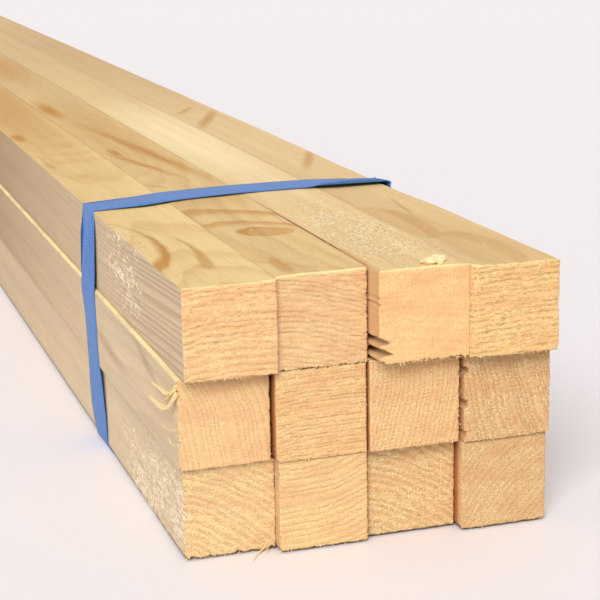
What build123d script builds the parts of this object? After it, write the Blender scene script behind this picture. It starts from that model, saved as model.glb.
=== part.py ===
from build123d import *
import os
from typing import NamedTuple

# Bundle of sawn pine studs, four wide and three high, tied by two flat plastic straps.
# Millimetres. X runs across the bundle, Y runs back from the front ends, Z is up.

# Sawn stock
stud_width = 45.0
stud_thickness = 45.0
stud_length = 2400.0
arris_break = 0.8

# How tightly the studs lie side by side
top_gap = 1.4
middle_gap = 1.5
bottom_gap = 1.7

# Straps: flat plastic band, pulled tight, with its ends welded in a lap
strap_width = 25.0
strap_thickness = 1.0
strap_from_end = 211.0
strap_wander = 21.0
strap_return = 6.0
lap_length = 38.0

# Wood torn off the front corners
splinter_run = 60.0
nick_run = 14.0
tear_overshoot = 1.0


class Stud(NamedTuple):
    """One stud of a layer: its gap to the stud on its left, how far its ends are set back,
    how much wider and thicker it is than the nominal section, and its larger edge wear as
    (across, up) for the bottom left, bottom right, top right and top left arris."""

    gap: float = 0.0
    setback: float = 0.0
    wider: float = 0.0
    thicker: float = 0.0
    wear: dict = {}


class Tear(NamedTuple):
    """A sliver torn from the left face at the front end: the heights of its mouth on that
    face, and its tip's depth and height."""

    low: float
    high: float
    depth: float
    tip: float


class Section(NamedTuple):
    """Where a stud's cross section stands: its left, right, bottom and top."""

    left: float
    right: float
    bottom: float
    top: float


# Each layer: the shift of its left face, then its studs from left to right
layers = {
    "bottom": (
        0.5,
        [
            Stud(setback=11.5, wider=-0.1, wear={"top_left": (2.2, 3.0)}),
            Stud(setback=5.0, wider=-0.5, wear={"bottom_left": (2.5, 2.0)}),
            Stud(gap=bottom_gap, setback=9.5, wider=0.2, thicker=0.5),
            Stud(gap=0.5, setback=1.5, thicker=0.2, wear={"bottom_left": (2.2, 1.2)}),
        ],
    ),
    "middle": (
        -1.5,
        [
            Stud(setback=8.5, wider=-0.6, thicker=-0.2),
            Stud(gap=middle_gap, setback=4.0, thicker=-0.2, wear={"bottom_left": (1.6, 4.2)}),
            Stud(gap=middle_gap, setback=2.0, wider=0.3, thicker=0.5),
            Stud(gap=middle_gap, setback=-0.5, wider=0.2),
        ],
    ),
    "top": (
        0.0,
        [
            Stud(thicker=-0.6),
            Stud(setback=3.5, thicker=0.8),
            Stud(gap=top_gap, setback=-8.0, wider=0.6, thicker=0.4, wear={"bottom_left": (4.6, 2.9)}),
            Stud(setback=-11.0, thicker=-0.2, wear={"top_right": (2.4, 1.6)}),
        ],
    ),
}

# Torn places, by layer and place in it
tears = {
    ("top", 3): (splinter_run, [
        Tear(low=7.9, high=12.6, depth=4.1, tip=9.6),
        Tear(low=3.1, high=7.6, depth=6.1, tip=3.9),
        Tear(low=28.0, high=29.2, depth=1.9, tip=28.0),
        Tear(low=31.4, high=32.2, depth=2.0, tip=31.2),
    ]),
    ("middle", 4): (nick_run, [
        Tear(low=34.6, high=38.2, depth=2.3, tip=36.6),
        Tear(low=17.6, high=21.8, depth=2.2, tip=18.9),
        Tear(low=2.6, high=6.0, depth=1.6, tip=4.0),
    ]),
}


def place_layer(shift, studs, below):
    """Set one layer's studs side by side, each resting on the highest stud under it."""
    sections = []
    left = shift
    for stud in studs:
        left += stud.gap
        right = left + stud_width + stud.wider
        carriers = [
            under.top
            for under in below
            if min(right, under.right) - max(left, under.left) > 2 * arris_break
        ]
        bottom = max(carriers) if carriers else strap_thickness
        sections.append(Section(left, right, bottom, bottom + stud_thickness + stud.thicker))
        left = right
    return sections


def stud_corners(section, wear):
    """The corners of the cross section, whose arrises are broken and some of them worn further."""
    even = (arris_break, arris_break)
    left, right, bottom, top = section
    a, b = wear.get("bottom_left", even)
    c, d = wear.get("bottom_right", even)
    e, f = wear.get("top_right", even)
    g, h = wear.get("top_left", even)
    return [
        (left, bottom + b), (left + a, bottom), (right - c, bottom), (right, bottom + d),
        (right, top - f), (right - e, top), (left + g, top), (left, top - h),
    ]


def torn_sliver(section, tear, setback, run):
    """The wood missing from the left face: widest at the front end, tapering to nothing."""
    left = section.left
    low, high = section.bottom + tear.low, section.bottom + tear.high
    outside = left - tear_overshoot
    mouth = Polyline(
        (outside, low), (left, low), (left + tear.depth, section.bottom + tear.tip),
        (left, high), (outside, high), close=True,
    )
    front = Plane.XZ.offset(tear_overshoot - setback) * make_face(mouth)
    return loft([front, Vertex(outside, setback + run, (low + high) / 2)])


def make_stud(section, stud, run=0.0, torn=()):
    """One stud, from its front end to its far end."""
    outline = make_face(Polyline(*stud_corners(section, stud.wear), close=True))
    body = extrude(Plane.XZ.offset(-stud.setback) * outline, amount=-stud_length)
    for tear in torn:
        body -= torn_sliver(section, tear, stud.setback, run)
    return body


def taut_outline(corners):
    """The corners that a band pulled round all the studs rests on, counterclockwise."""

    def lower_side(ordered):
        chain = []
        for x, z in ordered:
            while len(chain) > 1:
                (ax, az), (bx, bz) = chain[-2:]
                if (bx - ax) * (z - az) > (bz - az) * (x - ax):
                    break
                chain.pop()
            chain.append((x, z))
        return chain[:-1]

    points = sorted(set(corners))
    return lower_side(points) + lower_side(points[::-1])


def make_strap(corners, lap_on, course):
    """One strap: a closed band round the studs, doubled where its ends are welded together.

    Its course, seen from above, is the line that its middle follows across the bundle."""
    tight = make_face(Polyline(*taut_outline(corners), close=True))
    band = offset(tight, strap_thickness, kind=Kind.INTERSECTION) - tight
    lap = Rectangle(strap_thickness, lap_length)
    band += Pos(lap_on.right + 1.5 * strap_thickness, (lap_on.bottom + lap_on.top) / 2) * lap
    lane = trace(Polyline(*course), strap_width)
    near, far = lane.bounding_box().min.Y, lane.bounding_box().max.Y
    tube = extrude(Plane.XZ.offset(-near) * band, amount=near - far)
    return tube & extrude(lane, amount=tube.bounding_box().max.Z)


# Stack the layers from the bottom up
pieces = {}
placed = {}
corners = []
below = []
for layer, (shift, studs) in layers.items():
    below = place_layer(shift, studs, below)
    placed[layer] = below
    for place, (stud, section) in enumerate(zip(studs, below), start=1):
        run, torn = tears.get((layer, place), (0.0, []))
        pieces[f"stud_{layer}_{place}"] = make_stud(section, stud, run, torn)
        corners += stud_corners(section, stud.wear)

# Tie them: the front strap wanders back as far as the third stud of the top layer
first, third, last = placed["top"][0].left, placed["top"][2].right, placed["top"][3].right
outer_left, outer_right = first - strap_width, last + strap_width
lap_on = placed["middle"][-1]
front_course = [
    (outer_left, strap_from_end), (first, strap_from_end),
    (third, strap_from_end + strap_wander),
    (last, strap_from_end + strap_wander - strap_return),
    (outer_right, strap_from_end + strap_wander - strap_return),
]
rear_course = [(x, stud_length - strap_from_end) for x in (outer_left, outer_right)]
pieces["strap_front"] = make_strap(corners, lap_on, front_course)
pieces["strap_rear"] = make_strap(corners, lap_on, rear_course)

# The frame stands under the middle of the whole bundle, on the surface it rests on
box = Compound(list(pieces.values())).bounding_box()
to_frame = Pos(-box.center().X, -box.center().Y, -box.min.Z)

os.makedirs("parts", exist_ok=True)
for node, shape in pieces.items():
    export_step(to_frame * shape, f"parts/{node}.step")
print(f"bundle {box.size.X:.2f} x {box.size.Y:.2f} x {box.size.Z:.2f}")
print(f"shift {-box.center().X:.3f} {-box.center().Y:.3f} {-box.min.Z:.3f}")
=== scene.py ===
import math
import random
from functools import partial
from typing import NamedTuple

import bmesh
import bpy
from mathutils import Euler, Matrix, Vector, noise


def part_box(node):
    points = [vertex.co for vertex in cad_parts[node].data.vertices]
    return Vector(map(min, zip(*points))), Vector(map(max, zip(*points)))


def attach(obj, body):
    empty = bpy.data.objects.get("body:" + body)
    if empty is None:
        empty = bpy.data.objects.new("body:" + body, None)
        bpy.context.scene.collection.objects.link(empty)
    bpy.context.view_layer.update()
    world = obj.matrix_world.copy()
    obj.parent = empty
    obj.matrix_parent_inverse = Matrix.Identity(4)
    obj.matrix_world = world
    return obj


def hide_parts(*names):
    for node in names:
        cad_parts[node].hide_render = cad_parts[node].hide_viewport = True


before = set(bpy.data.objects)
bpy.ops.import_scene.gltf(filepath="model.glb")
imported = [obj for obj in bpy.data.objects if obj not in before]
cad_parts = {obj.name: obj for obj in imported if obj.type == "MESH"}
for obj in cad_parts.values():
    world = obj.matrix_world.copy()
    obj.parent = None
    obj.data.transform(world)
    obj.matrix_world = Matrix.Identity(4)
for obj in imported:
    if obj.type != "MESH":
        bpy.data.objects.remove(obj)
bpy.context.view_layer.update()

bl_info = {
    "name": "Bundle of pine studs",
    "version": (1, 0, 0),
    "blender": (4, 5, 0),
    "location": "3D View > Sidebar > Pine bundle",
    "description": "Twelve sawn pine studs in three layers, held by two woven straps",
    "category": "Object",
}

MM = 0.001
LEFT, RIGHT, BOTTOM, TOP = range(4)
HALF = 22.5  # half of a stud's width, mm

# Stage: places in metres, angles in degrees.
WINDOW_PLACE = (-1.9, -3.4, 3.15)
CAMERA_PLACE = (-0.26194, -1.90480, 0.30589)
CAMERA_ANGLES = (76.2572, 0.99275, -18.06454)
SENSOR_WIDTH = 36.0  # mm
FLOOR_REACH = 30.0  # how far the floor goes each way, m

# A wave texture turns through 20 radians a unit at scale 1. At this scale it repeats once a unit.
ONE_WAVE = 2 * math.pi / 20
WOBBLE = (3.0, 9.0, 0.0)  # how far the outline of a figure in the grain wavers, mm
FIGURE_DEPTH = 14.0  # how far a figure sinks into the wood, so that it shows on worn faces too, mm

END_CROWDING = 3.6  # how much closer a stud's cells lie at its ends than in the middle
EDGE_REACH = 12.0  # how far in from an edge or an end its wear reaches, mm
LAP_HEIGHT = 69.0  # the middle of the strap's welded lap, mm in the frame


def shade(code):
    """A colour written as sRGB hex, as the linear red, green and blue that shaders take."""
    parts = [int(code[at:at + 2], 16) / 255 for at in (1, 3, 5)]
    return [part / 12.92 if part <= 0.04045 else ((part + 0.055) / 1.055) ** 2.4 for part in parts]


def ramp(value, low, high):
    """0 below low, 1 above high, and a smooth step between."""
    step = min(max((value - low) / (high - low), 0.0), 1.0)
    return step * step * (3 - 2 * step)


def cad_box(name):
    """The low and the high corner of a CAD piece, mm."""
    return [Vector(corner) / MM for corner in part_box(name)]


class Tear(NamedTuple):
    """Wood torn off a stud's left side at its sawn end: a wedge that narrows to its tip as it runs
    back. Heights are above the stud's underside, mm."""

    low: float
    high: float
    depth: float
    tip: float
    run: float


class Mark(NamedTuple):
    """A figure in the grain of the top: a patch, soft patch, pale patch, the outline of an oval, or a
    crescent. Places are across from the stud's middle and back from its sawn end, mm. On the left
    side a patch is called side, and its place is up from the middle and back."""

    kind: str
    place: tuple
    reach: tuple
    tone: float
    turn: float = 0.0  # degrees
    bite: tuple = (0.0, 0.0)  # how far the oval that cuts a crescent is shifted


class Stud(NamedTuple):
    """How one stud was cut and handled. Lengths in mm, places from the middle of its sawn end."""

    pith: tuple  # the log's centre, across and up
    ring: float  # one year's growth
    end: str  # colour of its end grain
    long: str = "#DFC39C"  # colour of its long faces
    wander: tuple = (3.0, 3.0, 1100.0, 0.0)  # grain line's wander across and up, its wavelength, its start
    rings: tuple = (0.5, 0.5)  # how far the late wood stands out on the end, and how dark it is
    saw: tuple = (0.0, 1.6, 0.5)  # lean of the saw marks on the end, degrees, 0 level; pitch; relief
    flecks: tuple = (0.3, 0.2)  # pale and dark stipple, and torn-out pits, on the end
    rag: tuple = (0.5, 0.5, 0.7, 0.3)  # break-out at the left, right, bottom and top edge of the end
    tones: tuple = (0.4, 0.14)  # how dark the growth lines are on the top and on the sides
    bare: float = 0.5  # how much of the left side stands clear of the next stud, and so is pale, ahead of the painted gap shade
    weathered: tuple = (0.0, 0.5)  # how brown the side is near the sawn end, and 600 mm back
    painted_highlight: float = 0.0  # height of the band of painted highlight along the upper left arris
    dust: tuple = ((0.0, 0.0, 99.0), (1.0, 1.0, 1.0))  # where torn fibre whitens it: place, reach
    white: float = 0.9  # how white the torn fibre is
    marks: tuple = ()


STUDS = {
    "stud_bottom_1": Stud(
        (-46, -76), 3.6, "#E0BF88", rings=(0.8, 0.72), saw=(-28, 1.6, 0.2), flecks=(0.6, 0.4),
        rag=(1.0, 0.7, 2.3, 0.3), tones=(0.4, 0.08), weathered=(0.0, 0.32),
        dust=((-22.5, 40, -6), (14, 125, 38))),
    "stud_bottom_2": Stud(
        (-14, 78), 3.0, "#D3AE76", rings=(0.45, 0.42), saw=(3, 1.6, 0.22), flecks=(0.35, 0.2),
        rag=(0.8, 0.4, 0.8, 0.3), bare=6.5),
    "stud_bottom_3": Stud(
        (-42, -84), 3.4, "#D7B175", rings=(0.9, 0.9), saw=(-30, 1.6, 0.2), flecks=(0.72, 0.5)),
    "stud_bottom_4": Stud(
        (75, -75), 3.0, "#B18558", "#DDBD8E", rings=(0.32, 0.32), saw=(26, 1.6, 0.2), flecks=(0.45, 0.3),
        bare=3),
    "stud_middle_1": Stud(
        (-120, -34), 2.8, "#D6A877", "#E0C6A0", rings=(0.4, 0.29), saw=(2, 1.4, 0.15), flecks=(0.25, 0.25),
        rag=(1.9, 0.5, 0.5, 0.6), tones=(0.4, 0.16), weathered=(0.04, 0.82), painted_highlight=2.1, marks=(
            Mark("side", (14, 66), (5, 42), 0.5, 12),
            Mark("side", (-3, 160), (6, 72), 0.42, 5))),
    "stud_middle_2": Stud(
        (6, -130), 2.9, "#DCA96D", saw=(1, 1.6, 0.5), flecks=(0.48, 0.35), rag=(0.5, 0.5, 0.7, 1.9)),
    "stud_middle_3": Stud(
        (-170, 30), 2.4, "#D29F67", rings=(0.4, 0.26), saw=(3, 1.8, 0.25), flecks=(0.5, 0.35),
        rag=(0.5, 1.2, 0.5, 0.4)),
    "stud_middle_4": Stud(
        (120, 38), 2.5, "#C49462", "#DDBD8E", rings=(0.8, 0.85), saw=(0, 2.0, 0.25), flecks=(0.6, 0.45)),
    "stud_top_1": Stud(
        (6, -150), 3.5, "#E8B37C", "#EECD8C", wander=(2, 8, 700, -0.45), rings=(0.65, 0.43),
        saw=(-4, 3.4, 0.55), flecks=(0.3, 0.6), tones=(0.25, 0.5), weathered=(0.16, 0.9),
        dust=((-22.5, 122, 6), (14, 64, 30)), marks=(
            Mark("crescent", (-32.5, 100), (26, 69), 0.9, bite=(-1.6, 10)),
            Mark("outline", (-32.5, 100), (25, 66), 0.25),
            Mark("outline", (-28.5, 90), (34, 66), 0.12),
            Mark("crescent", (-0.5, 75), (8, 45), 0.62, bite=(-3.5, 10)),
            Mark("patch", (2.4, 53), (3.8, 22), 0.6),
            Mark("soft", (-5, 322), (7, 26), 0.42),
            Mark("soft", (-17, 374), (6, 34), 0.6),
            Mark("soft", (9, 462), (12, 44), 0.46),
            Mark("soft", (-16, 512), (10, 46), 0.95),
            Mark("soft", (-4, 760), (60, 620), 0.62))),
    "stud_top_2": Stud(
        (-32, -120), 2.9, "#D4A678", "#E4C285", wander=(3, 5, 620, 0.4), rings=(0.7, 0.36),
        saw=(-4, 2.4, 0.4), flecks=(0.25, 0.3), rag=(0.3, 1.3, 1.2, 0.3), tones=(0.25, 0.14), marks=(
            Mark("patch", (-13.5, 21), (4.2, 24), 0.55),
            Mark("outline", (-3, 44), (13, 13), 0.15),
            Mark("patch", (3.5, 99.5), (16.5, 12.5), 0.55, -25),
            Mark("crescent", (3.5, 99.5), (16.5, 12.5), 0.85, -25, bite=(5, -4)),
            Mark("crescent", (-1.5, 80.5), (38, 58), 0.62, 20, bite=(1, -6)),
            Mark("crescent", (4.5, 85.5), (48, 94), 0.66, 20, bite=(1.5, -8)),
            Mark("patch", (-16.5, 172), (6.5, 6), 0.55),
            Mark("soft", (2, 206), (34, 44), 0.26),
            Mark("patch", (-17, 258), (2.5, 16), 0.6, 25),
            Mark("soft", (-7.5, 345), (6, 100), 0.8, 11),
            Mark("soft", (8.5, 390), (4.6, 180), 0.95, 5.4),
            Mark("soft", (-13, 398), (6.5, 40), 0.9),
            Mark("soft", (4.5, 430), (10, 270), 0.8, 5.4),
            Mark("soft", (0, 520), (44, 330), 0.36),
            Mark("soft", (-14.5, 648), (11, 96), 1.0),
            Mark("soft", (0, 1020), (36, 260), 0.5))),
    "stud_top_3": Stud(
        (-14, -150), 3.6, "#E0A76A", "#EDCD92", rings=(0.15, 0.2), saw=(88, 1.9, 0.2),
        rag=(0.3, 0.0, 1.5, 0.4), tones=(0.15, 0.14), bare=12.5, dust=((1, 84, 22.5), (33, 120, 14)),
        white=0.44, marks=(
            Mark("patch", (29, 190), (7, 8), 0.3),
            Mark("pale", (0, 440), (44, 330), 0.95))),
    "stud_top_4": Stud(
        (4, -160), 3.7, "#E8B368", "#E4C087", rings=(0.6, 0.4), saw=(3, 2.6, 0.7), flecks=(0.42, 0.8),
        rag=(0.0, 0.8, 0.8, 0.6), tones=(0.15, 0.14), bare=5, marks=(
            Mark("patch", (-2, 38), (16.5, 46), 0.12),
            Mark("crescent", (-2, 38), (16.5, 46), 0.32, bite=(-10, -8)),
            Mark("patch", (-14.5, 112), (13.5, 50), 0.2),
            Mark("crescent", (-14.5, 112), (13.5, 50), 0.36, bite=(-9, 0)),
            Mark("patch", (2.6, 155), (2.4, 44), 0.5, -8),
            Mark("soft", (9, 338), (5.5, 64), 0.62, -20),
            Mark("soft", (-1, 558), (7.5, 84), 0.72, -20.5),
            Mark("soft", (-4.5, 616), (6, 40), 0.5, -26),
            Mark("pale", (0, 460), (60, 400), 0.2))),
}
TEARS = {
    "stud_top_3": (Tear(9.2, 12.8, 5.2, 9.8, 45), Tear(3.2, 7.6, 6.8, 4.2, 45),
                   Tear(28.0, 29.2, 1.1, 28.0, 30), Tear(31.4, 32.2, 0.9, 31.2, 20)),
    "stud_bottom_1": (Tear(33.6, 34.8, 1.7, 34.4, 10), Tear(26.8, 27.9, 1.5, 27.6, 8),
                      Tear(21.0, 22.0, 1.2, 21.6, 7)),
    "stud_middle_4": (Tear(34.6, 38.2, 2.3, 36.6, 14), Tear(17.6, 21.8, 2.2, 18.9, 14),
                      Tear(2.6, 6.0, 1.6, 4.0, 14)),
}
# Rounding of the long corners that were handled most, across and up in mm.
CORNERS = {
    ("stud_bottom_1", LEFT, TOP): (2.2, 3.0), ("stud_bottom_2", LEFT, BOTTOM): (2.5, 2.0),
    ("stud_bottom_4", LEFT, BOTTOM): (2.2, 1.2), ("stud_middle_2", LEFT, BOTTOM): (1.6, 4.2),
    ("stud_middle_1", LEFT, TOP): (1.7, 2.0), ("stud_top_3", LEFT, BOTTOM): (4.6, 2.9),
    ("stud_top_4", RIGHT, TOP): (2.4, 1.6),
}
# These gaps close behind the sawn ends: how far each side swells, and over what stretch back, mm.
SWELL = {("stud_top_2", RIGHT): (0.75, 120.0, 190.0), ("stud_top_3", LEFT): (0.75, 120.0, 190.0),
         ("stud_middle_3", LEFT): (0.6, -10.0, -5.0)}
GROOVE = 1.3  # how deep such a gap is where it is open
# How far the top of a stud is worn up or down to its neighbour's height at this side, mm.
FLUSH = {("stud_top_1", RIGHT): 0.6, ("stud_top_2", LEFT): -0.6, ("stud_top_2", RIGHT): 0.35,
         ("stud_top_3", LEFT): -0.35, ("stud_top_3", RIGHT): -0.6, ("stud_top_4", LEFT): 0.6}
# How far the sawn end is broken back at this side, mm.
CHIPPED = {("stud_top_4", LEFT): 3.0}
# These long sides fit the next stud with no gap to be seen.
CLOSED = (("stud_top_1", RIGHT), ("stud_top_2", LEFT), ("stud_top_3", RIGHT), ("stud_top_4", LEFT))
# The arris that is worn lower for a stretch: where the dip starts, is full, fades and ends, mm back.
DIPPED = ("stud_top_4", RIGHT, TOP)
DIP = (150.0, 200.0, 330.0, 430.0)

# Courses of the straps, mm in the frame: the near edge's place back along the bundle, and how far the
# near and the far edge stand off the wood. Left and right runs go by height, top and bottom by width.
# A run that isn't named lies on the wood.
COURSES = {
    "strap_front": {
        "near": {
            LEFT: ((0, 190), (12, 188.5), (20, 189), (31, 190.5), (41, 191.5), (51, 196.5), (62, 197.5),
                   (85, 200), (100, 197), (118, 196), (130, 198), (136, 202)),
            TOP: ((-94, 202), (-81, 203), (-63, 204), (-46, 208), (-27, 211), (-8, 213), (20, 214),
                  (92, 214)),
            RIGHT: ((0, 209), (60, 212), (138, 214)),
            BOTTOM: ((-94, 176), (92, 209))},
        "near_lift": {
            LEFT: ((0, 0), (90, 0), (100, 0.4), (118, 1.1), (130, 0.8), (136, 0.1)),
            RIGHT: ((0, 0), (138, 0.3)),
            TOP: ((-94, 0), (-55, 0.1), (-40, 0.35), (-15, 0.3), (10, 0.2), (40, 0.4), (48, 1.7), (62, 2.9),
                  (75, 3.3), (84, 3.1), (92, 1.2))},
        "far_lift": {
            LEFT: ((0, 0.4), (12, 2.1), (20, 2.5), (35, 2.1), (50, 0.8), (70, 0.7), (86, 1.5), (100, 2.6),
                   (120, 2.9), (132, 1.0), (136, 0)),
            TOP: ((-94, 0), (70, 0), (85, -0.4), (92, -0.9)),
            RIGHT: ((0, 0), (120, 0), (138, -0.7))}},
    "strap_rear": {
        "near": {
            LEFT: ((0, 2178), (70, 2176), (136, 2177)), TOP: ((-94, 2177), (92, 2174)),
            RIGHT: ((0, 2175), (138, 2174)), BOTTOM: ((-94, 2178), (92, 2175))},
        "near_lift": {LEFT: ((0, 0), (25, 0.9), (60, 0.1), (100, 0.9), (136, 0))},
        "far_lift": {TOP: ((-94, 0), (-30, 0.4), (92, 0)), RIGHT: ((0, 0), (60, 0.6), (138, 0))}},
}
ON_THE_WOOD = ((0, 0),)

# Splinters curling off the sawn end: width, and places from the upper left front corner of the first
# middle stud, mm.
CURLS = (
    (3.8, ((0.3, 1.7, -4.6), (-1.6, 3.5, -7.3), (-2.6, 9.4, -9.1), (-3.4, 19.4, -9.2), (-3.6, 36, -10.7))),
    (4.4, ((0.3, 0.6, -6.4), (-1.6, 1.2, -9.7), (-3.0, 4.4, -13.8), (-3.8, 10.5, -16.3), (-4.4, 20.7, -17.2),
           (-4.6, 31, -17.7), (-4.8, 38, -17.8))),
    (3.2, ((0.3, 0.8, -3.2), (-1.4, 6.2, -8.9), (-2.4, 16.1, -14.7), (-3.2, 21.3, -16.3))),
    (0.9, ((0.2, 0.5, -24), (-2, 4, -25.5), (-3.5, 10, -26), (-4.5, 15, -25))),
    (0.8, ((0.2, 0.2, -31), (-1.5, 2, -32.5), (-2.5, 6, -32), (-2.6, 9, -30))),
)
# Splinters left hanging at the lower right of the first bottom stud: width, thickness, and places from a
# point this far left of its corner there, mm.
HANGING_INSET = 5.5
HANGING = (
    (1.1, 0.5, ((0.0, 1.0, 0.6), (-3.5, -2.5, 0.2), (-6.5, -6.0, -0.3), (-9.5, -10.7, -0.5))),
    (0.8, 0.4, ((1.0, 0.6, 0.3), (0.5, -2.0, 0.1), (-1.5, -4.5, -0.4))),
)
# Lumps of the wood chip on the third top stud: across, back, and reach each way, mm.
CHIP = ((27.5, 5.5, (4.6, 3.4, 1.5)), (33.0, 8.5, (3.8, 3.6, 1.9)), (31.5, 3.0, (1.2, 2.6, 0.8)))
DUSTY = "stud_top_3"  # the stud that most of the sawdust lies on
THIN_DUST = ((0.0, 90.0, 0.0), (20.0, 90.0, 0.0))  # where the rest lies on the other top studs


def colour_setting(name, what, code):
    """The colour of something, from its sRGB hex value, that the user can change."""
    return bpy.props.FloatVectorProperty(
        name=name, description="Colour of " + what, default=shade(code), subtype="COLOR", size=3)


def length_setting(name, description, length):
    """A length that the user can change, from its value in mm."""
    return bpy.props.FloatProperty(
        name=name, description=description, default=length * MM, subtype="DISTANCE", unit="LENGTH")


class BundleStudSettings(bpy.types.PropertyGroup):
    """Sizes and colours of the studs."""

    cells: bpy.props.IntProperty(
        name="Cells across", description="Faces across each side of a stud", default=72, min=12, max=96)
    rings: bpy.props.IntProperty(
        name="Cells along", description="Faces along a stud, close together at its ends", default=54, min=12)
    arris: length_setting("Arris", "Rounding of the outer long corners", 0.9)
    inner_arris: length_setting("Inner arris", "Rounding of the long corners between studs", 0.35)
    late_wood: colour_setting("Late wood", "the dark part of a year's growth", "#C98A4B")
    fibre: colour_setting("Torn fibre", "torn, fuzzy wood", "#FFF0CC")
    # Painted highlight on the upper edges, where light catches the arris.
    painted_highlight: colour_setting("Arris highlight", "the painted highlight on the upper edges", "#FFE6A4")
    resin: colour_setting("Resin", "flames, ovals and knots", "#C08220")
    # The sides are greyer than the top: painted shade, for the cooler and dimmer light on them.
    side: colour_setting("Side", "the outer sides", "#DEC6A1")
    side_line: colour_setting("Side lines", "the growth lines on the sides", "#A5835A")
    # Painted shade on the sides in the gaps between studs, warm as light bounced off the wood.
    gap: colour_setting("Gap", "the sides that face a gap", "#B87442")
    bare: colour_setting("Bare side", "a side that stands clear of the next stud", "#DBB78C")
    rosy: colour_setting("Rosy end", "smooth patches of end grain", "#F4C592")
    cream: colour_setting("Cream end", "rough patches of end grain", "#FFE0A0")
    lit: colour_setting("Pale figure", "pale figures on the top", "#FFE6B2")
    torn: colour_setting("Torn corner", "the inside of a torn corner", "#DAAB7A")
    # Torn-out flecks on the ends, and the painted shade between the torn fibres on the sides.
    pits_and_fibre_shade: colour_setting("Pits", "torn-out flecks", "#A57440")
    # Painted shade for the contact shadow under the studs, with a little dirt: on the undersides and the
    # lowest edges.
    under: colour_setting("Underside", "the painted shade on the undersides and lowest edges", "#6A4628")


class BundleStrapSettings(bpy.types.PropertyGroup):
    """Sizes and colours of the straps."""

    width: length_setting("Width", "Width of the strap", 24.6)
    thickness: length_setting("Thickness", "Thickness of the strap", 0.6)
    bend: length_setting("Bend", "Rounding of the strap at a corner", 1.5)
    lap: length_setting("Lap", "Length of the welded lap", 38.0)
    colour: colour_setting("Colour", "the woven strap", "#4C7DC2")


class BundleLooseSettings(bpy.types.PropertyGroup):
    """Loose fibres, splinters and dust left by the saw."""

    fibres: bpy.props.IntProperty(
        name="Fibres", description="Torn fibres standing on the sawn edges", default=300, min=0)
    specks: bpy.props.IntProperty(
        name="Specks", description="Flecks of sawdust on the top", default=220, min=0)
    splinter: colour_setting("Splinters", "the curled splinters", "#F3DCA2")
    colour: colour_setting("Colour", "loose fibres and dust", "#FBE4B2")


class BundleStageSettings(bpy.types.PropertyGroup):
    """Floor, light and camera."""

    floor: colour_setting("Floor", "the floor", "#F1EBEC")
    sky: bpy.props.FloatProperty(
        name="Room light", description="Strength of the even light of the room", default=0.52, min=0.0)
    window: bpy.props.FloatProperty(
        name="Window light", description="Strength of the light from the front, upper left", default=2.48,
        min=0.0)
    softness: bpy.props.FloatProperty(
        name="Window size", description="How wide the window looks from the bundle",
        default=math.radians(32.0), subtype="ANGLE", unit="ROTATION")
    lens: bpy.props.FloatProperty(
        name="Lens", description="Focal length on a 36 mm frame", default=99.94, unit="CAMERA")


def add_node(tree, kind, inputs=(), **settings):
    """One node of that kind, with its own settings. inputs are its sockets, by name or in order:
    values, sockets, or nodes, whose first output is then linked."""
    node = tree.nodes.new("ShaderNode" + kind)
    for name, value in settings.items():
        setattr(node, name, value)
    open_sockets = [socket for socket in node.inputs if socket.enabled]
    by_name = {socket.name: socket for socket in open_sockets}
    for key, value in inputs.items() if isinstance(inputs, dict) else enumerate(inputs):
        socket = by_name[key] if isinstance(key, str) else open_sockets[key]
        if isinstance(value, bpy.types.Node):
            value = next(output for output in value.outputs if output.enabled)
        if isinstance(value, bpy.types.NodeSocket):
            tree.links.new(value, socket)
        elif socket.type == "RGBA":
            socket.default_value = (*value, 1)
        else:
            socket.default_value = value
    return node


def new_material(name):
    """An empty node material, and add_node for its tree."""
    material = bpy.data.materials.new(name)
    material.use_nodes = True
    material.node_tree.nodes.clear()
    return material, partial(add_node, material.node_tree)


def tinted(add, colour, tints):
    """A colour with some tints laid over it. Each tint has its pattern, the values of the pattern where
    it starts and where it is full, its strength there, and its colour."""
    for pattern, start, full, strength, tint in tints:
        amount = add("MapRange", [pattern, start, full, 0, strength])
        colour = add("Mix", [amount, colour, tint], data_type="RGBA")
    return colour


def shaded(add, colour, levels):
    """A colour darkened and lightened by some patterns: each pattern, two of its values, and the
    levels there."""
    for level in levels:
        colour = add("Mix", [1, colour, add("MapRange", level)], data_type="RGBA", blend_type="MULTIPLY")
    return colour


def coat(add, colour, relief, strength, depth, finish):
    """Joins a material's colour, relief and finish in its surface. relief gives each pattern and its
    share of the height, and depth is what a height of 1 stands for, mm."""
    height = 0
    for pattern, share in relief:
        height = add("Math", [pattern, share, height], operation="MULTIPLY_ADD")
    bump = add("Bump", {"Strength": strength, "Distance": depth * MM, "Height": height})
    surface = add("BsdfPrincipled", {"Base Color": colour, "Normal": bump, **finish})
    add("OutputMaterial", {"Surface": surface})


def place_in_stud(add, name):
    """A point's place in mm: across and up from the stud's middle, back from its sawn end."""
    low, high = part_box(name)
    middle = ((low[0] + high[0]) / 2 / MM, low[1] / MM, (low[2] + high[2]) / 2 / MM)
    spot = add("TexCoord").outputs["Object"]
    return add("Mapping", {"Vector": spot, "Scale": (1 / MM,) * 3, "Location": [-m for m in middle]})


def stretched(add, place, across, along, up, detail=1, rough=0.5):
    """Cloudy noise whose clouds are about that many mm across, along and up."""
    spot = add("Mapping", {"Vector": place, "Scale": (1 / across, 1 / along, 1 / up)})
    return add("TexNoise", {"Vector": spot, "Scale": 1, "Detail": detail, "Roughness": rough})


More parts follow.
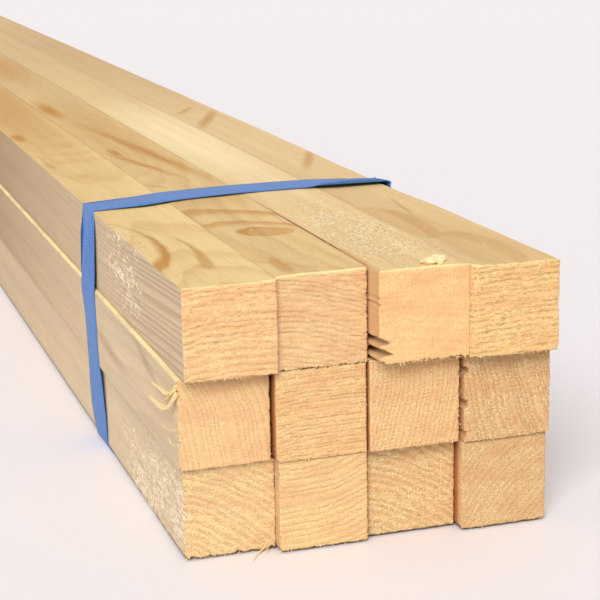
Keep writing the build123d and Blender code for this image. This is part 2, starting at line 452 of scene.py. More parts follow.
def growth_rings(add, place, stud, year):
    """How late in its year each point of the wood grew, from 0, pale spring wood, to 1, dark late wood.
    year is when it starts to darken, is dark, and starts to fade."""
    across, up, wavelength, start = stud.wander
    back = add("SeparateXYZ", [place]).outputs["Y"]
    turn = add("Math", [back, 2 * math.pi / wavelength, start], operation="MULTIPLY_ADD")
    swing = add("Math", [turn], operation="SINE")
    bent = add("VectorMath", [swing, (across, 0, up), place], operation="MULTIPLY_ADD")
    drift = 0
    for wide, long, bend in ((26, 420, 5), (4, 70, 1)):
        cloud = stretched(add, place, wide, long, wide).outputs["Color"]
        bent = add("VectorMath", [cloud, (bend, 0, bend), bent], operation="MULTIPLY_ADD")
        # The clouds are 0.5 on average, so half of each bend is taken off with the pith's place.
        drift += bend / 2
    centre = (-stud.pith[0] - drift, 0, -stud.pith[1] - drift)
    flat = add("VectorMath", [bent, (1, 0, 1), centre], operation="MULTIPLY_ADD")
    radius = add("VectorMath", [flat], operation="LENGTH")
    years = add("Math", [radius, 1 / stud.ring], operation="MULTIPLY")
    uneven = add("TexNoise", {"W": years, "Scale": 0.31, "Detail": 1}, noise_dimensions="1D")
    years = add("Math", [uneven, 1.5, years], operation="MULTIPLY_ADD")
    season = add("Math", [years], operation="FRACT")
    darkening = add("MapRange", [season, *year[:2]], interpolation_type="SMOOTHSTEP")
    winter = add("MapRange", [season, year[2], 1, 1, 0], interpolation_type="SMOOTHSTEP")
    return add("Math", [darkening, winter], operation="MULTIPLY")


def figures(add, place, marks):
    """How strongly some figures in the grain show."""
    cloud = stretched(add, place, 6, 16, 6, 2).outputs["Color"]
    wavering = add("VectorMath", [cloud, WOBBLE, place], operation="MULTIPLY_ADD")
    total = 0
    for mark in marks:
        inside = []
        shifts = ((0, 0), mark.bite) if mark.kind == "crescent" else ((0, 0),)
        for shift in shifts:
            # The cloud is 0.5 on average, so half of the wobble is added to the figure's place.
            x, y = (mark.place[axis] + WOBBLE[axis] / 2 + shift[axis] for axis in (0, 1))
            centre, reach, turn = (x, y, HALF), (*mark.reach, FIGURE_DEPTH), (0, 0, math.radians(mark.turn))
            if mark.kind == "side":
                centre, reach, turn = (-HALF, y, mark.place[0]), reach[::-1], turn[::-1]
            local = add("Mapping", {"Vector": wavering, "Location": centre, "Rotation": turn,
                                    "Scale": reach}, vector_type="TEXTURE")
            inside.append(add("VectorMath", [local], operation="LENGTH"))
        if mark.kind == "outline":
            off = add("Math", [inside[0], 1], operation="SUBTRACT")
            fading = [add("Math", [off], operation="ABSOLUTE"), 0, 1.6 / min(mark.reach)]
        else:
            solid = 0.1 if mark.kind in ("soft", "pale", "side") else 1 - 2.2 / min(mark.reach)
            fading = [inside[0], solid, 1]
        shown = add("MapRange", [*fading, mark.tone, 0], interpolation_type="SMOOTHSTEP")
        if mark.kind == "crescent":
            left = add("MapRange", [inside[1], 0.8, 1], interpolation_type="SMOOTHSTEP")
            shown = add("Math", [shown, left], operation="MULTIPLY")
        total = add("Math", [total, shown], operation="MAXIMUM")
    return total


def end_grain(name, stud, looks):
    """Pine cut across by a coarse saw. The late wood stands in ridges that catch light from above, the
    saw's teeth leave broken lines, and torn fibre ends give pale and dark flecks."""
    material, add = new_material("Pine end grain, rough sawn, " + name)
    place = place_in_stud(add, name)
    ridge, darkness = stud.rings
    lean, pitch, cut = stud.saw
    dots, pits = stud.flecks
    late = growth_rings(add, place, stud, (0.05, 0.55, 0.6))
    across = add("Mapping", {"Vector": place, "Rotation": (0, math.radians(lean), 0)})
    saw = add("TexWave", {"Vector": across, "Scale": ONE_WAVE / pitch, "Distortion": 3.2, "Detail": 3,
                          "Detail Scale": 0.5},
              wave_type="BANDS", bands_direction="Z", wave_profile="SIN")
    patches = stretched(add, place, 9, 9, 3)
    struck = add("MapRange", [patches, 0.35, 0.62, 0.1, 1])
    saw_line = add("Math", [saw, struck], operation="MULTIPLY")
    # Cut fibre ends are 0.03 mm across, too fine to show, so the stipple is drawn at 0.9 mm.
    stipple = stretched(add, place, 0.95, 1, 0.8, 2, 0.75)
    torn = stretched(add, place, 2.7, 1, 0.95, 3, 0.7)
    rough = add("MapRange", [stretched(add, place, 19, 13, 11, 2), 0.38, 0.60])
    patchy = add("Mix", [rough, looks.rosy, looks.cream], data_type="RGBA")
    colour = add("Mix", [0.4, shade(stud.end), patchy], data_type="RGBA")
    faded = add("MapRange", [patches, 0.3, 0.65, 0.217 * darkness, 0.62 * darkness])
    colour = tinted(add, colour, [(late, 0, 1, faded, looks.late_wood)])
    colour = shaded(add, colour, [(saw_line, 0, 0.7, 1.04, 1.04 - 0.16 * cut)])
    # The stipple is weaker in the smooth patches. The upper edge of a top stud's end gets a painted
    # highlight, and the lowest edge of a bottom stud's end painted shade for its contact shadow, each up to
    # a ragged line.
    pale = add("MapRange", [rough, 0, 1, 0.45 * dots, dots])
    dark = add("Math", [pale, 0.6], operation="MULTIPLY")
    tints = [(stipple, 0.54, 0.62, pale, looks.fibre), (stipple, 0.46, 0.37, dark, looks.pits_and_fibre_shade),
             (torn, 0.43, 0.33, 0.85 * pits, looks.pits_and_fibre_shade), (torn, 0.55, 0.66, 0.6 * pits, looks.fibre)]
    up = add("SeparateXYZ", [place]).outputs["Z"]
    edge = add("Math", [torn, 2.4, up], operation="MULTIPLY_ADD")
    # Painted highlight along the upper edge of a top stud's sawn end.
    if "_top_" in name:
        tints.append((edge, 22.2, 23.4, 0.75, looks.painted_highlight))
    # Painted shade along the lowest edge of a bottom stud's sawn end, for its contact shadow.
    if "_bottom_" in name:
        tints.append((edge, -20.6, -21.4, 0.75, looks.under))
    relief = ((late, ridge), (saw_line, -cut), (stipple, 1.1 * dots + 0.3), (torn, 1.5 * pits + 0.4))
    coat(add, tinted(add, colour, tints), relief, 0.9, 0.6,
         {"Roughness": 0.82, "IOR": 1.45, "Specular IOR Level": 0.25})
    return material


def long_grain(name, stud, looks):
    """Pine sawn lengthwise and lightly planed. Rings show as long lines, flames and ovals, fibre as fine
    streaks, and the sheen is low. Painted shade makes the sides greyer than the top and the gaps warm."""
    material, add = new_material("Pine long grain, planed, " + name)
    place = place_in_stud(add, name)
    across, back, up = add("SeparateXYZ", [place]).outputs
    late = growth_rings(add, place, stud, (0.25, 0.84, 0.88))
    streaks = stretched(add, place, 0.9, 55, 0.9, 3, 0.65)
    bands = stretched(add, place, 9, 480, 9)
    # Resin canals are 0.1 mm wide, so they are drawn at 0.5 mm to show.
    pores = stretched(add, place, 0.5, 9, 0.5)
    lean = add("Mapping", {"Vector": place, "Rotation": (math.radians(-6), 0, 0)})
    fuzz = stretched(add, lean, 1, 5.2, 1, 3, 0.72)
    clump = stretched(add, place, 9, 22, 9)
    normal = add("SeparateXYZ", [add("NewGeometry").outputs["Normal"]]).outputs
    side = add("Math", [normal["X"]], operation="ABSOLUTE")
    is_side = add("MapRange", [side, 0.55, 0.8])
    on_top = add("MapRange", [normal["Z"], 0.4, 0.7])

    # The side and then the top, which brown with age over a stretch, and less towards the far end.
    newer = add("MapRange", [back, 1300, 2000, 1, 0.3])
    faces = []
    for clean, near, far, browned in ((looks.side, 150, 600, stud.weathered),
                                      (shade(stud.long), 450, 1100, (0, 0.38))):
        brown = add("MapRange", [back, near, far, *browned])
        faces.append(tinted(add, clean, [(newer, 0, 1, brown, looks.side_line)]))
    # The sides take the greyer side colour: painted shade for the cooler light on them.
    colour = add("Mix", [is_side, faces[1], faces[0]], data_type="RGBA")

    # Sides next to another stud get painted shade in the gap, dark and warm as light bounced between studs,
    # and a paler colour where they stand clear of it.
    inward = {"1": 1, "4": -1}.get(name[-1])
    below = add("MapRange", [up, 21.6, 22.2, 1, 0]) if "_top_" in name else 1
    if inward:
        painted_gap_shade = (normal["X"], 0.55 * inward, 0.8 * inward, below)
    else:
        painted_gap_shade = (below if "_top_" in name else is_side, 0, 1, 1)
    gap_shade_colour = tinted(add, looks.bare, [(back, stud.bare, stud.bare + 3, 1, looks.gap)])
    # Painted shade on the undersides, and on the lowest band of a bottom stud's sides, for the contact
    # shadow with a little dirt.
    under = add("MapRange", [normal["Z"], -0.5, -0.8])
    if "_bottom_" in name:
        lowest = add("MapRange", [up, -20.4, -21.6, 0, 0.85])
        under = add("Math", [under, lowest], operation="MAXIMUM")

    # Growth lines fade back along the stud.
    top_tone, side_tone = stud.tones
    tone = add("Mix", [is_side, add("MapRange", [back, 220, 500, top_tone, 0.4 * top_tone]),
                       add("MapRange", [back, 90, 220, side_tone, 0.3 * side_tone])])
    line_colour = add("Mix", [is_side, looks.late_wood, looks.side_line], data_type="RGBA")
    tints = [(*painted_gap_shade, gap_shade_colour), (under, 0, 1, 1, looks.under), (late, 0, 1, tone, line_colour)]
    for shown_on, kinds, tint in ((on_top, ("pale",), looks.lit), (is_side, ("side",), looks.side_line),
                                  (on_top, ("patch", "soft", "outline", "crescent"), looks.resin)):
        marks = [mark for mark in stud.marks if mark.kind in kinds]
        if marks:
            tints.append((shown_on, 0, 1, figures(add, place, marks), tint))
    colour = shaded(add, tinted(add, colour, tints), (
        (streaks, 0.3, 0.7, 0.92, 1.06), (bands, 0.3, 0.7, 0.94, 1.04), (pores, 0.70, 0.80, 1, 0.82)))

    # Torn fibre whitens the dusty place in clumps, with shade between them.
    area = add("Mapping", {"Vector": place, "Location": stud.dust[0], "Scale": stud.dust[1]},
               vector_type="TEXTURE")
    clumped = add("MapRange", [clump, 0.36, 0.60, 0.4, 1])
    dusty = add("MapRange", [add("TexGradient", [area], gradient_type="SPHERICAL"), 0, 0.5, 0, clumped])
    flecked = add("Math", [dusty, 0.17, fuzz], operation="MULTIPLY_ADD")
    shade_between_fibres = add("Math", [dusty, 0.42], operation="MULTIPLY")
    white = add("MapRange", [dusty, 0, 0.6, 0.2 * stud.white, stud.white])
    tints = [(fuzz, 0.5, 0.38, shade_between_fibres, looks.pits_and_fibre_shade), (flecked, 0.64, 0.72, white, looks.fibre)]
    # Painted highlight in a ragged band along the upper left arris.
    if stud.painted_highlight:
        upper = add("Math", [fuzz, 1.6, up], operation="MULTIPLY_ADD")
        patchy = add("MapRange", [clump, 0.35, 0.6, 0.45, 0.9])
        tints.append((upper, 23.2 - stud.painted_highlight, 24 - stud.painted_highlight, patchy, looks.painted_highlight))
    # The small nicks in an outer side keep its colour.
    if name in TEARS and name[-1] != "1":
        near = add("MapRange", [back, 60, 50, 0, 0.8])
        tints.append((across, -20.5, -21.5, near, looks.torn))
    coat(add, tinted(add, colour, tints), ((late, 0.35), (streaks, 0.8), (flecked, 2)), 0.6, 0.4,
         {"Roughness": 0.62, "IOR": 1.5, "Specular IOR Level": 0.35})
    return material


def woven_strap(looks):
    """Polyester strapping, woven and heat-set. A close cross rib breaks up its low sheen."""
    material, add = new_material("Polyester strapping, woven")
    spot = add("UVMap", uv_map="lay")
    # Ribs are 1.0 mm apart along the strap, drawn at 1.8 mm to show; cords are 1.6 mm apart across it.
    rib = add("TexWave", {"Vector": spot, "Scale": ONE_WAVE / 1.8, "Distortion": 1.2, "Detail": 1},
              wave_type="BANDS", bands_direction="X")
    cord = add("TexWave", {"Vector": spot, "Scale": ONE_WAVE / 1.6, "Distortion": 0.5},
               wave_type="BANDS", bands_direction="Y")
    wear = add("TexNoise", {"Vector": spot, "Scale": 0.35, "Detail": 3})
    colour = shaded(add, looks.colour, [(rib, 0, 1, 0.80, 1.12), (wear, 0.3, 0.7, 0.90, 1.10)])
    coat(add, colour, ((rib, 1), (cord, 0.5)), 0.6, 0.25,
         {"Roughness": 0.5, "IOR": 1.57, "Specular IOR Level": 0.4})
    return material


def torn_fibre(name, tint):
    """Loose pine fibre and sawdust, torn. Thin, pale and matt, a little mottled."""
    material, add = new_material("Pine " + name)
    spot = add("TexCoord").outputs["Object"]
    mottle = add("TexNoise", {"Vector": spot, "Scale": 1 / (1.5 * MM), "Detail": 2})
    colour = shaded(add, tint, [(mottle, 0.3, 0.7, 0.85, 1.05)])
    coat(add, colour, [(mottle, 1)], 0.5, 0.2, {"Roughness": 0.85, "IOR": 1.45, "Specular IOR Level": 0.2})
    return material


def show(name, data):
    """An object in the scene, with that mesh, lamp or camera."""
    shown = bpy.data.objects.new(name, data)
    bpy.context.scene.collection.objects.link(shown)
    return shown


def show_mesh(name, bm, materials):
    """An object in the scene, with the mesh that bm holds."""
    mesh = bpy.data.meshes.new(name)
    bm.to_mesh(mesh)
    bm.free()
    for material in materials:
        mesh.materials.append(material)
    return show(name, mesh)


def keep(name, bm, materials, stands_for=()):
    """Makes a piece of a bmesh, rides it on the bundle, and hides the CAD parts it stands for."""
    piece = show_mesh(name, bm, materials)
    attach(piece, "root")
    if stands_for:
        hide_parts(*stands_for)


def run_back(edge):
    """How far an edge runs along the bundle."""
    return abs(edge.verts[0].co.y - edge.verts[1].co.y)


def teeth(along, up, seed):
    """Broken-out wood, 0 to 1, in tufts one to three mm long."""
    fine = noise.noise(Vector((along / 1.1, up / 1.1, seed)))
    coarse = noise.noise(Vector((along / 4.3, up / 4.3, seed + 9)))
    return max(0, 0.9 * fine + 0.8 * coarse + 0.15)


def torn_depth(name, back, up):
    """How deep the left side is torn away that far back and up, mm."""
    depth = 0
    for tear in TEARS.get(name, ()):
        gone = min(back / tear.run, 1)
        low = tear.low + (tear.tip - tear.low) * gone
        high = tear.high + (tear.tip - tear.high) * gone
        if low - 0.3 <= up <= high + 0.3:
            edge = min(ramp(up, low - 0.3, low + 0.25), 1 - ramp(up, high - 0.25, high + 0.3))
            depth = max(depth, tear.depth * (1 - gone) * edge)
    return depth


def rounded(across, up, wide, high, radii):
    """A point of the section moved so that its corner is rounded."""
    radius_x, radius_z = radii
    inside_x = wide - abs(across)
    inside_z = high - abs(up)
    if inside_x >= radius_x or inside_z >= radius_z:
        return across, up
    s, t = 1 - inside_x / radius_x, 1 - inside_z / radius_z
    new_s, new_t = s * math.sqrt(1 - t * t / 2), t * math.sqrt(1 - s * s / 2)
    return (math.copysign(wide - radius_x * (1 - new_s), across),
            math.copysign(high - radius_z * (1 - new_t), up))


def corner_radii(name, across, up, at, settings):
    """How far a long corner is rounded across and up, that far back from the sawn end, mm."""
    outer = LEFT if name[-1] == "1" else RIGHT if name[-1] == "4" else None
    radius = (settings.arris if across == outer else settings.inner_arris) / MM
    if (name, across) in CLOSED:
        radius = 0.05
    elif (name, across) in SWELL:
        radius *= 1 - 0.8 * ramp(at, *SWELL[name, across][1:])
    return CORNERS.get((name, across, up), (radius, radius))


def shape_stud(name, stud, settings, seed):
    """A closed stud: gridded ends, worn arrises, broken-out edges and torn corners."""
    low, high = cad_box(name)
    middle, half = (low + high) / 2, (high - low) / 2
    bm = bmesh.new()
    bmesh.ops.create_cube(bm, size=2)
    lengthwise = [edge for edge in bm.edges if run_back(edge) > 1]
    bmesh.ops.subdivide_edges(bm, edges=lengthwise, cuts=settings.rings - 1, use_grid_fill=True)
    across = [edge for edge in bm.edges if run_back(edge) < 1e-6]
    bmesh.ops.subdivide_edges(bm, edges=across, cuts=settings.cells - 1, use_grid_fill=True)
    for face in bm.faces:
        face.material_index = 0 if abs(face.normal.y) > 0.5 else 1
        face.smooth = abs(face.normal.y) < 0.5
    for vert in bm.verts:
        u, t, w = vert.co
        at = half.y * (1 + math.tanh(END_CROWDING * t) / math.tanh(END_CROWDING))
        x, z = u * half.x, w * half.z
        corner = (name, RIGHT if u > 0 else LEFT, TOP if w > 0 else BOTTOM)
        near = corner[:2]

        wave = noise.noise(Vector((at / 30, 3 * (u > 0) + 5 * (w > 0), seed)))
        worn = 1 + 0.35 * wave
        if corner == DIPPED:
            worn += 1.3 * ramp(at, *DIP[:2]) * (1 - ramp(at, *DIP[2:]))
        radii = [radius * worn for radius in corner_radii(*corner, at, settings)]
        x, z = rounded(x, z, half.x, half.z, radii)

        # What each side has lost here, mm: saw waves, less the swelling, then break-out and tears.
        missing = [
            0.06 + 0.06 * noise.noise(Vector((at / 60, z / 15, seed + side))) for side in range(4)]
        for side in (LEFT, RIGHT):
            amount, start, full = SWELL.get((name, side), (0, 0, 1))
            deep = ramp(half.z - z, GROOVE - 0.5, GROOVE + 0.5) * ramp(at, 5, 12)
            missing[side] -= amount * max(ramp(at, start, full), deep)
            if (name, side) in CLOSED:
                missing[side] = 0
        front = math.exp(-at / 2.5)
        if front > 0.01:
            for side, place, salt in ((LEFT, z, 11), (RIGHT, z, 23), (BOTTOM, x, 37), (TOP, x, 41)):
                missing[side] += stud.rag[side] * front * teeth(place, at, seed + salt)
        # Tears climb a little as they go in.
        missing[LEFT] += torn_depth(name, at, z + half.z + 0.45 * (x + half.x))

        # A side's loss fades across the section, away from that side.
        gap = [x + half.x, half.x - x, z + half.z, half.z - z]
        share = [max(0, 1 - gap[side] / EDGE_REACH) for side in range(4)]
        for side in (LEFT, RIGHT):
            z += FLUSH.get((name, side), 0) * share[side] * share[TOP]
        x += missing[LEFT] * share[LEFT] - missing[RIGHT] * share[RIGHT]
        z += missing[BOTTOM] * share[BOTTOM] - missing[TOP] * share[TOP]

        # The sawn ends: a broken corner, and dents that are deepest at the rim.
        ends = min(at, 2 * half.y - at)
        broken = CHIPPED.get(near, 0) * max(0, 1 - (half.x - abs(u * half.x)) / 3)
        at += broken * math.exp(-at / 6)
        if ends < EDGE_REACH:
            dent = 0.18 * noise.noise(Vector((x / 5, z / 3, seed + 50))) + 0.12
            dent += 0.10 * noise.noise(Vector((x / 1.2, z / 0.9, seed + 60)))
            if max(abs(u), abs(w)) > 0.9999 and ends < 0.01:
                dent += 0.35
            at += math.copysign(max(0, dent) * (1 - ends / EDGE_REACH), half.y - at)
        vert.co = Vector((middle.x + x, low.y + at, middle.z + z)) * MM
    return bm


class BUNDLE_OT_studs(bpy.types.Operator):
    """Twelve sawn pine studs in three layers"""

    bl_idname = "bundle.studs"
    bl_label = "Pine studs"
    bl_options = {"REGISTER", "UNDO"}

    def execute(self, context):
        settings = context.scene.bundle_studs
        for number, (name, stud) in enumerate(STUDS.items()):
            bm = shape_stud(name, stud, settings, 13.7 * (number + 1))
            materials = [end_grain(name, stud, settings), long_grain(name, stud, settings)]
            keep("sawn_" + name, bm, materials, [name])
        return {"FINISHED"}


def along(course, at):
    """The value of a course at a place, on straight lines between its points."""
    for (start, low), (end, high) in zip(course, course[1:]):
        if at <= end:
            return low + (high - low) * max(at - start, 0) / (end - start)
    return course[-1][1]


def taut_band(settings):
    """A band stretched round all the studs, mm, its near edge at y 0, its corners rounded, gridded."""
    width = settings.width / MM
    bm = bmesh.new()
    for name in STUDS:
        low, high = cad_box(name)
        for x in (low.x, high.x):
            for z in (low.z, high.z):
                for y in (0, width):
                    bm.verts.new((x, y, z))
    hull = bmesh.ops.convex_hull(bm, input=bm.verts)
    inner = dict.fromkeys(hull["geom_interior"] + hull["geom_unused"])
    bmesh.ops.delete(bm, geom=list(inner), context="VERTS")
    bmesh.ops.dissolve_limit(bm, angle_limit=math.radians(0.02), verts=bm.verts, edges=bm.edges)
    caps = [face for face in bm.faces if abs(face.normal.y) > 0.5]
    bmesh.ops.delete(bm, geom=caps, context="FACES_ONLY")
    corners = [edge for edge in bm.edges if run_back(edge) > width / 2]
    bmesh.ops.bevel(bm, geom=corners, offset=settings.bend / MM, offset_type="OFFSET", affect="EDGES",
                    segments=4, profile=0.5, material=-1)
    for face in list(bm.faces):
        runs = [edge for edge in face.edges if run_back(edge) < width / 2]
        cuts = int(runs[0].calc_length() / 3)
        if cuts:
            bmesh.ops.subdivide_edges(bm, edges=runs, cuts=cuts)
    across = [edge for edge in bm.edges if run_back(edge) > width / 2]
    bmesh.ops.subdivide_edges(bm, edges=across, cuts=9)
    bmesh.ops.recalc_face_normals(bm, faces=bm.faces)
    return bm


def bearing(vert):
    """The direction of a point of the band from the middle of the bundle, radians."""
    return math.atan2(vert.co.z - LAP_HEIGHT, vert.co.x)


def lay_strap(name, settings):
    """The band laid on its course, thickened, with its lap welded on the right side."""
    bm = taut_band(settings)
    bm.normal_update()
    width, thick = settings.width / MM, settings.thickness / MM
    near, near_lift, far_lift = COURSES[name].values()
    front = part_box("stud_top_1")[0][1] / MM

    # Each point's place along and across the band, for the weave.
    ordered = sorted({(round(bearing(v), 5), v.co.x, v.co.z) for v in bm.verts if v.co.y < 0.01})
    run, lengths = 0, {}
    for before, now in zip(ordered, ordered[1:] + ordered[:1]):
        lengths[before[0]] = run
        run += math.dist(before[1:], now[1:])
    lay = bm.verts.layers.float_vector.new("lay")
    for vert in bm.verts:
        turn = bearing(vert)
        vert[lay] = (lengths[min(lengths, key=lambda known: abs(known - turn))], vert.co.y, 0)

    moves = {}
    for vert in bm.verts:
        out = Vector((vert.normal.x, 0, vert.normal.z)).normalized()
        if abs(out.x) > abs(out.z):
            side, at = (RIGHT if out.x > 0 else LEFT), vert.co.z
        else:
            side, at = (TOP if out.z > 0 else BOTTOM), vert.co.x
        far = vert.co.y / width
        lift = (along(near_lift.get(side, ON_THE_WOOD), at) * (1 - far)
                + along(far_lift.get(side, ON_THE_WOOD), at) * far)
        sway = 0.25 * noise.noise(Vector((at / 40, side, 3)))
        moves[vert] = out * lift + Vector((0, front + along(near[side], at) + sway, 0))
    for vert, move in moves.items():
        vert.co += move

    lap = settings.lap / MM / 2
    welded = [face for face in bm.faces
              if face.normal.x > 0.9 and abs(face.calc_center_median().z - LAP_HEIGHT) < lap]
    copy = bmesh.ops.duplicate(bm, geom=welded)["geom"]
    bmesh.ops.translate(bm, verts=[v for v in copy if isinstance(v, bmesh.types.BMVert)],
                        vec=(thick * 1.02, 0, 0))
    bmesh.ops.solidify(bm, geom=bm.faces[:], thickness=-thick)
    uv = bm.loops.layers.uv.new("lay")
    for face in bm.faces:
        face.smooth = True
        first = face.loops[0].vert[lay].x
        for loop in face.loops:
            place, across, _ = loop.vert[lay]
            if abs(place - first) > run / 2:
                place += math.copysign(run, first - place)
            loop[uv].uv = (place, across)
    bmesh.ops.scale(bm, vec=(MM, MM, MM), verts=bm.verts)
    return bm


class BUNDLE_OT_straps(bpy.types.Operator):
    """Two woven straps, each a taut loop round the bundle"""

    bl_idname = "bundle.straps"
    bl_label = "Straps"
    bl_options = {"REGISTER", "UNDO"}

    def execute(self, context):
        settings = context.scene.bundle_straps
        material = woven_strap(settings)
        for name in COURSES:
            keep("woven_" + name, lay_strap(name, settings), [material], [name])
        return {"FINISHED"}


def sliver(bm, points, width, thick):
    """A tapering splinter along some points, mm, made by extruding a small loop from one to the next."""
    points = [Vector(point) for point in points]
    loop = bmesh.ops.create_circle(bm, cap_ends=False, radius=0.5, segments=5)["verts"]
    bmesh.ops.scale(bm, vec=(width, thick, 1), verts=loop)
    heading = (points[1] - points[0]).normalized()
    bmesh.ops.rotate(bm, cent=(0, 0, 0), matrix=heading.to_track_quat("Z", "Y").to_matrix(), verts=loop)
    bmesh.ops.translate(bm, vec=points[0], verts=loop)
    first = edges = list(dict.fromkeys(edge for vert in loop for edge in vert.link_edges))
    for number, (start, end) in enumerate(zip(points, points[1:])):
        new = bmesh.ops.extrude_edge_only(bm, edges=edges)["geom"]
        loop = [item for item in new if isinstance(item, bmesh.types.BMVert)]
        edges = [item for item in new if isinstance(item, bmesh.types.BMEdge)]
        bmesh.ops.translate(bm, vec=end - start, verts=loop)
        onward = (end - start).normalized()
        bmesh.ops.rotate(bm, cent=end, matrix=heading.rotation_difference(onward).to_matrix(), verts=loop)
        heading = onward
        taper = 1 - 0.5 * (number + 1) / (len(points) - 1) ** 1.1
        for vert in loop:
            vert.co = end + (vert.co - end) * max(taper, 0.25)
    for rim in (first, edges):
        bmesh.ops.edgeloop_fill(bm, edges=rim)


def curled_splinters():
    """Splinters that curl off the left side, and two that hang at the bottom edge."""
    bm = bmesh.new()
    low, high = cad_box("stud_middle_1")
    corner = Vector((low.x, low.y, high.z))
    for width, points in CURLS:
        sliver(bm, [corner + Vector(point) for point in points], width, 0.5 * width)
    low, high = cad_box("stud_bottom_1")
    under = Vector((high.x - HANGING_INSET, low.y, low.z))
    for width, thick, points in HANGING:
        sliver(bm, [under + Vector(point) for point in points], width, thick)
    return bm


def wood_chip():
    """A crumb of wood on the top: a few lumps that run into each other."""
    bm = bmesh.new()
    low, high = cad_box("stud_top_3")
    for across, back, reach in CHIP:
        for vert in bmesh.ops.create_icosphere(bm, subdivisions=3, radius=1)["verts"]:
            bulge = 1 + 0.35 * noise.noise(vert.co * 1.6 + Vector((across, back, 0)))
            vert.co = Vector([vert.co[axis] * reach[axis] * bulge for axis in range(3)])
            vert.co += Vector((low.x + across, low.y + back, high.z + 0.6 * reach[2]))
    return bm


def torn_fibres(chance, count):
    """Fibres left standing on the edges of the sawn ends, most where the edge is most ragged."""
    bm = bmesh.new()
    for _ in range(count):
        name = chance.choice(list(STUDS))
        rag = STUDS[name].rag
        box = cad_box(name)
        side = chance.choices(range(4), weights=[amount + 0.1 for amount in rag])[0]
        # The sides come in pairs, low and high, first across and then up.
        axis, along_edge = ((0, 2), (2, 0))[side // 2]
        start = box[0].copy()
        start[axis] = box[side % 2][axis]
        start[along_edge] += chance.random() * (box[1] - box[0])[along_edge]
        outward = Vector()
        outward[axis] = 2 * (side % 2) - 1
        start -= outward * chance.uniform(0.3, 0.8)
        start.y += chance.uniform(0.2, 0.5)
        length = chance.uniform(0.6, 1.5) + rag[side] * chance.uniform(0, 0.5)
        lean = Vector([chance.uniform(-0.6, 0.6), chance.uniform(-1.1, 0.2), chance.uniform(-0.6, 0.6)])
        way = (outward + lean).normalized()
        turn = Vector([chance.uniform(-0.5, 0.5) for _ in range(3)])
        middle = start + way * length * 0.5
        end = middle + (way + turn).normalized() * length * 0.5
        end.z = max(end.z, 0.2)
        sliver(bm, (start, middle, end), chance.uniform(0.18, 0.45), 0.18)
    return bm


def sawdust(chance, count):
    """Specks of sawdust on the top, one in sixteen of them away from the dusty stud."""
    bm = bmesh.new()
    for number in range(count):
        name = DUSTY if number % 16 else chance.choice(["stud_top_1", "stud_top_2", "stud_top_4"])
        low, high = cad_box(name)
        (across, back, _), (wide, deep, _) = STUDS[name].dust if name == DUSTY else THIN_DUST
        spot = Vector(((low.x + high.x) / 2 + across + chance.gauss(0, wide / 2.4),
                       low.y + back + chance.gauss(0, deep / 2.4), high.z))
        spot.x = min(max(spot.x, low.x + 2), high.x - 2)
        spot.y = max(spot.y, low.y + 2)
        speck = bmesh.ops.create_icosphere(bm, subdivisions=1, radius=1)["verts"]
        size = chance.uniform(0.2, 0.55)
        bmesh.ops.scale(bm, vec=(size, size * chance.uniform(0.8, 2.4), size * 0.4), verts=speck)
        spin = Euler((chance.uniform(-0.3, 0.3), 0, chance.uniform(0, math.pi))).to_matrix()
        bmesh.ops.rotate(bm, cent=(0, 0, 0), matrix=spin, verts=speck)
        bmesh.ops.translate(bm, vec=spot, verts=speck)
    return bm


class BUNDLE_OT_loose(bpy.types.Operator):
    """Curled splinters, a wood chip, torn fibres on the sawn edges and specks of sawdust"""

    bl_idname = "bundle.loose"
    bl_label = "Splinters and dust"
    bl_options = {"REGISTER", "UNDO"}

    def execute(self, context):
        settings = context.scene.bundle_loose
        chance = random.Random(12)
        splinter = torn_fibre("splinters, curled", settings.splinter)
        fibre = torn_fibre("fibre, torn", settings.colour)
        for name, bm, material in (
                ("curled_splinters", curled_splinters(), splinter), ("wood_chip", wood_chip(), fibre),
                ("torn_fibres", torn_fibres(chance, settings.fibres), fibre),
                ("sawdust", sawdust(chance, settings.specks), fibre)):
            bmesh.ops.recalc_face_normals(bm, faces=bm.faces)
            bmesh.ops.scale(bm, vec=(MM, MM, MM), verts=bm.verts)
            keep(name, bm, [material])
        return {"FINISHED"}


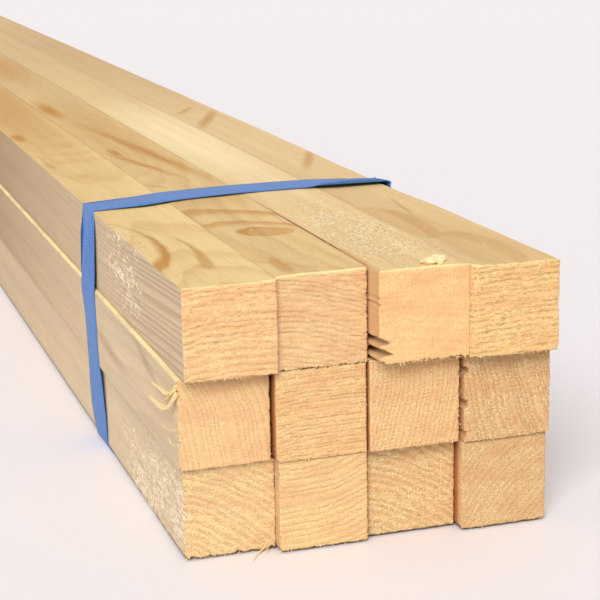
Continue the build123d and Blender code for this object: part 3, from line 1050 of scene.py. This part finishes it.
class BUNDLE_OT_stage(bpy.types.Operator):
    """Pale floor, soft light and the camera"""

    bl_idname = "bundle.stage"
    bl_label = "Stage"
    bl_options = {"REGISTER", "UNDO"}

    def execute(self, context):
        settings = context.scene.bundle_stage
        scene = context.scene
        # An even, pale floor with no gloss, so that shadows lie softly on it.
        material, add = new_material("Floor, matt laminate")
        surface = add("BsdfPrincipled", {"Base Color": settings.floor, "Roughness": 0.7})
        add("OutputMaterial", {"Surface": surface})
        bm = bmesh.new()
        bmesh.ops.create_grid(bm, x_segments=1, y_segments=1, size=FLOOR_REACH)
        show_mesh("floor", bm, [material])

        world = bpy.data.worlds.new("Room")
        scene.world = world
        world.use_nodes = True
        world.node_tree.nodes.clear()
        add = partial(add_node, world.node_tree)
        path = add("LightPath").outputs
        seen = 0
        for ray in ("Is Camera Ray", "Is Glossy Ray", "Is Transmission Ray"):
            seen = add("Math", [seen, path[ray]], operation="MAXIMUM")
        room = add("Background", {"Color": shade("#FFFFFF"), "Strength": settings.sky})
        white = add("Background", {"Color": shade("#F6F0EE"), "Strength": 1})
        add("OutputWorld", {"Surface": add("MixShader", [seen, room, white])})

        lamp = bpy.data.lights.new("window", "SUN")
        lamp.energy = settings.window
        lamp.angle = settings.softness
        holder = show("window", lamp)
        holder.location = WINDOW_PLACE
        holder.rotation_euler = (-Vector(WINDOW_PLACE)).to_track_quat("-Z", "Y").to_euler()

        lens = bpy.data.cameras.new("camera")
        lens.sensor_width = SENSOR_WIDTH
        lens.lens = settings.lens
        lens.clip_start = 0.01
        lens.clip_end = 100
        camera = show("camera", lens)
        camera.location = CAMERA_PLACE
        camera.rotation_euler = [math.radians(angle) for angle in CAMERA_ANGLES]
        scene.camera = camera
        scene.view_settings.view_transform = "Standard"
        return {"FINISHED"}


class BUNDLE_PT_panel(bpy.types.Panel):
    """Everything that dresses the bundle"""

    bl_label = "Pine bundle"
    bl_idname = "BUNDLE_PT_panel"
    bl_space_type = "VIEW_3D"
    bl_region_type = "UI"
    bl_category = "Pine bundle"

    def draw(self, context):
        for name, (group, operator) in PARTS.items():
            box = self.layout.box()
            for setting in group.__annotations__:
                box.prop(getattr(context.scene, name), setting)
            box.operator(operator.bl_idname)


PARTS = {
    "bundle_stage": (BundleStageSettings, BUNDLE_OT_stage),
    "bundle_studs": (BundleStudSettings, BUNDLE_OT_studs),
    "bundle_straps": (BundleStrapSettings, BUNDLE_OT_straps),
    "bundle_loose": (BundleLooseSettings, BUNDLE_OT_loose),
}
CLASSES = [made for part in PARTS.values() for made in part] + [BUNDLE_PT_panel]


def register():
    for made in CLASSES:
        bpy.utils.register_class(made)
    for name, (group, _) in PARTS.items():
        setattr(bpy.types.Scene, name, bpy.props.PointerProperty(type=group))


def unregister():
    for name in PARTS:
        delattr(bpy.types.Scene, name)
    for made in reversed(CLASSES):
        bpy.utils.unregister_class(made)


def main():
    register()
    bpy.ops.bundle.stage()
    bpy.ops.bundle.studs()
    bpy.ops.bundle.straps()
    bpy.ops.bundle.loose()


if __name__ == "__main__":
    main()
